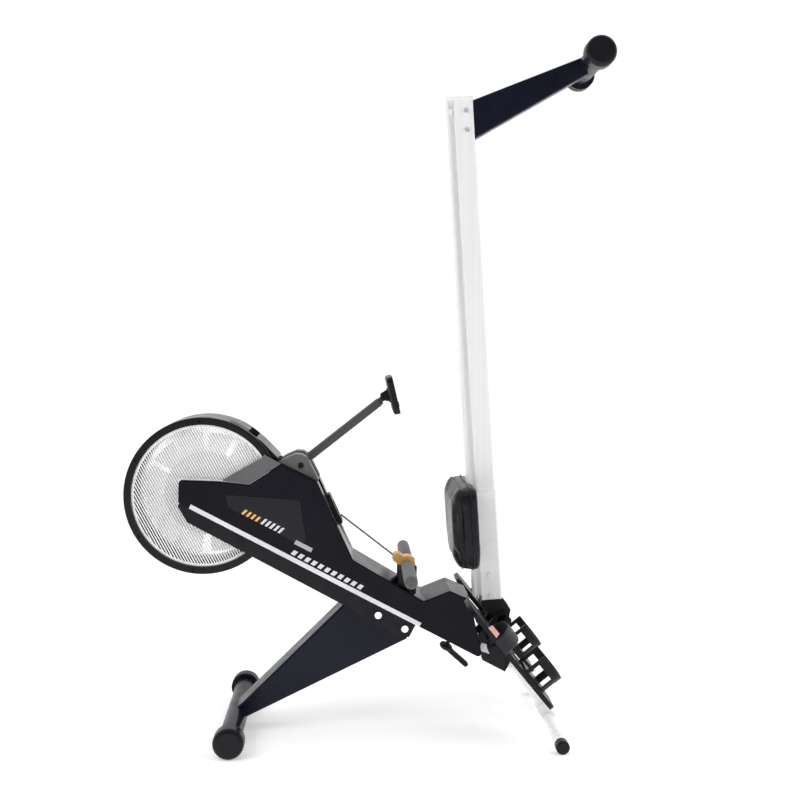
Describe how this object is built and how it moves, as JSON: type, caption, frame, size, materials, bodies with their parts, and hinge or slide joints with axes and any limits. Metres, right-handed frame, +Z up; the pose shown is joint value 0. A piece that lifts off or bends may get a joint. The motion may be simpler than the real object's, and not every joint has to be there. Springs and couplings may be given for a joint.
{
  "type": "rowing machine",
  "caption": "Folding air rowing machine standing in its stored pose: caged fan, slanted casing, upright rail with sliding seat, tilting foot plates, pull handle, console on an arm and floor bars.",
  "frame": {"origin": "middle of the footprint of the bounding box, on the floor, in the folded pose", "axes": "+X from the fan towards the rail, +Y to the right hand of the rower, +Z up"},
  "size_m": [1.2096, 0.477, 1.733],
  "materials": {
    "navy_casing": "gloss",
    "navy_paint": "gloss",
    "black_plastic": "satin",
    "white_paint": "gloss",
    "rail_aluminium": "satin",
    "grille_silver": "satin",
    "fan_silver": "satin",
    "chrome": "polished",
    "silver_trim": "gloss",
    "grey_plastic": "satin",
    "window_black": "gloss",
    "arm_grey": "satin",
    "orange_plastic": "satin",
    "grip_foam": "matte",
    "seat_vinyl": "satin",
    "webbing": "matte",
    "rubber": "matte",
    "steel": "satin",
    "lens": "gloss"
  },
  "bodies": {
    "frame": {"cage_rings": "black_plastic", "cage_shell": "navy_casing", "centre_shell": "navy_casing", "drive_belt": "rubber", "drive_brackets": "steel", "drive_strap": "webbing", "fan_fork": "steel", "fold_plates": "black_plastic", "frame_end_caps": "black_plastic", "frame_fasteners": "chrome", "front_floor_bar": "navy_paint", "front_leg": "navy_paint", "grey_panels": "grey_plastic", "grilles": "grille_silver", "handle_cradle": "black_plastic", "left_side_cover": "navy_casing", "lower_channel": "black_plastic", "main_tube": "white_paint", "pedal_axle": "black_plastic", "right_side_cover": "navy_casing", "spine_end_bracket": "black_plastic", "stand_tube": "white_paint", "strap_guide": "black_plastic", "trim_strips": "silver_trim", "window_inserts": "window_black"},
    "flywheel": {"fan_wheel": "fan_silver", "fan_hub": "steel"},
    "drive": {"drive_pulley": "black_plastic"},
    "spool": {"strap_spool": "webbing"},
    "guide_roller": {"guide_roller": "black_plastic"},
    "handle": {"handle_bar": "steel", "handle_grips": "grip_foam", "strap_connector": "orange_plastic"},
    "arm": {"console_arm": "arm_grey"},
    "console": {"console_housing": "black_plastic", "console_lens": "lens"},
    "button_left": {"console_button_left": "grey_plastic"},
    "button_middle": {"console_button_middle": "grey_plastic"},
    "button_right": {"console_button_right": "grey_plastic"},
    "left_foot": {"left_foot_plate": "black_plastic", "left_foot_strap": "webbing"},
    "right_foot": {"right_foot_plate": "black_plastic", "right_foot_strap": "webbing"},
    "left_heel": {"left_heel_cup": "black_plastic"},
    "right_heel": {"right_heel_cup": "black_plastic"},
    "rail": {"rail": "rail_aluminium", "rail_sleeve": "white_paint", "rail_end_fittings": "white_paint", "hinge_block": "black_plastic", "rail_bolts": "silver_trim", "rear_leg": "navy_paint", "rear_bar": "navy_paint", "rear_end_caps": "black_plastic"},
    "seat": {"seat_pad": "seat_vinyl", "seat_carriage": "black_plastic", "roller_axles": "steel", "groove_glides": "rubber"},
    "lower_rollers": {"lower_axle_rollers": "rubber"},
    "upper_rollers": {"upper_axle_rollers": "rubber"},
    "lock": {"lock_pin": "black_plastic"}
  },
  "joints": [
    {"name": "flywheel_spin", "type": "hinge", "parent": "frame", "child": "flywheel", "pos_m": [-0.40784, 0, 0.611], "axis": [0, 1, 0], "continuous": true},
    {"name": "drive_spin", "type": "hinge", "parent": "frame", "child": "drive", "pos_m": [-0.18284, 0, 0.56], "axis": [0, 1, 0], "continuous": true},
    {"name": "handle_pull", "type": "slide", "parent": "frame", "child": "handle", "axis": [0.0698, 0, 0.9976], "range_m": [0, 0.72], "stiffness_N_per_m": 20, "springref_m": -0.5},
    {"name": "spool_turn", "type": "hinge", "parent": "frame", "child": "spool", "pos_m": [-0.18284, 0, 0.56], "axis": [0, 1, 0], "range_deg": [0, 1588.7]},
    {"name": "guide_roller_turn", "type": "hinge", "parent": "frame", "child": "guide_roller", "pos_m": [-0.07697, 0, 0.54531], "axis": [0, 1, 0], "range_deg": [0, 3752.3]},
    {"name": "arm_tilt", "type": "hinge", "parent": "frame", "child": "arm", "pos_m": [-0.16384, 0, 0.686], "axis": [0, 1, 0], "range_deg": [-15, 10]},
    {"name": "console_tilt", "type": "hinge", "parent": "arm", "child": "console", "pos_m": [0.04574, 0, 0.85515], "axis": [0, 1, 0], "range_deg": [-20, 20]},
    {"name": "button_left_press", "type": "slide", "parent": "console", "child": "button_left", "axis": [-0.9744, 0, -0.225], "range_m": [0, 0.0015], "stiffness_N_per_m": 500},
    {"name": "button_middle_press", "type": "slide", "parent": "console", "child": "button_middle", "axis": [-0.9744, 0, -0.225], "range_m": [0, 0.0015], "stiffness_N_per_m": 500},
    {"name": "button_right_press", "type": "slide", "parent": "console", "child": "button_right", "axis": [-0.9744, 0, -0.225], "range_m": [0, 0.0015], "stiffness_N_per_m": 500},
    {"name": "left_foot_tilt", "type": "hinge", "parent": "frame", "child": "left_foot", "pos_m": [0.31487, 0, 0.24019], "axis": [0, 1, 0], "range_deg": [-15, 15]},
    {"name": "right_foot_tilt", "type": "hinge", "parent": "frame", "child": "right_foot", "pos_m": [0.31487, 0, 0.24019], "axis": [0, 1, 0], "range_deg": [-15, 15]},
    {"name": "left_heel_slide", "type": "slide", "parent": "left_foot", "child": "left_heel", "axis": [-0.6293, 0, 0.7771], "range_m": [0, 0.06]},
    {"name": "right_heel_slide", "type": "slide", "parent": "right_foot", "child": "right_heel", "axis": [-0.6293, 0, 0.7771], "range_m": [0, 0.06]},
    {"name": "rail_fold", "type": "hinge", "parent": "frame", "child": "rail", "pos_m": [0.35116, 0, 0.281], "axis": [0, 1, 0], "range_deg": [0, 91]},
    {"name": "seat_slide", "type": "slide", "parent": "rail", "child": "seat", "axis": [-0.061, 0, 0.9981], "range_m": [0, 0.948]},
    {"name": "lower_rollers_turn", "type": "hinge", "parent": "seat", "child": "lower_rollers", "pos_m": [0.25847, 0, 0.45266], "axis": [0, 1, 0], "range_deg": [-4939.9, 2]},
    {"name": "upper_rollers_turn", "type": "hinge", "parent": "seat", "child": "upper_rollers", "pos_m": [0.24931, 0, 0.60238], "axis": [0, 1, 0], "range_deg": [-4939.9, 2]},
    {"name": "lock_pull", "type": "slide", "parent": "frame", "child": "lock", "axis": [-0.4695, 0, -0.8829], "range_m": [0, 0.012], "stiffness_N_per_m": 1500, "springref_m": -0.004}
  ],
  "couplings": [
    {"joint": "drive_spin", "follows": "flywheel_spin", "ratio": 0.2727},
    {"joint": "spool_turn", "follows": "handle_pull", "rad_per_m": 38.462},
    {"joint": "guide_roller_turn", "follows": "handle_pull", "rad_per_m": 90.909},
    {"joint": "lower_rollers_turn", "follows": "seat_slide", "rad_per_m": -90.909},
    {"joint": "upper_rollers_turn", "follows": "seat_slide", "rad_per_m": -90.909}
  ]
}
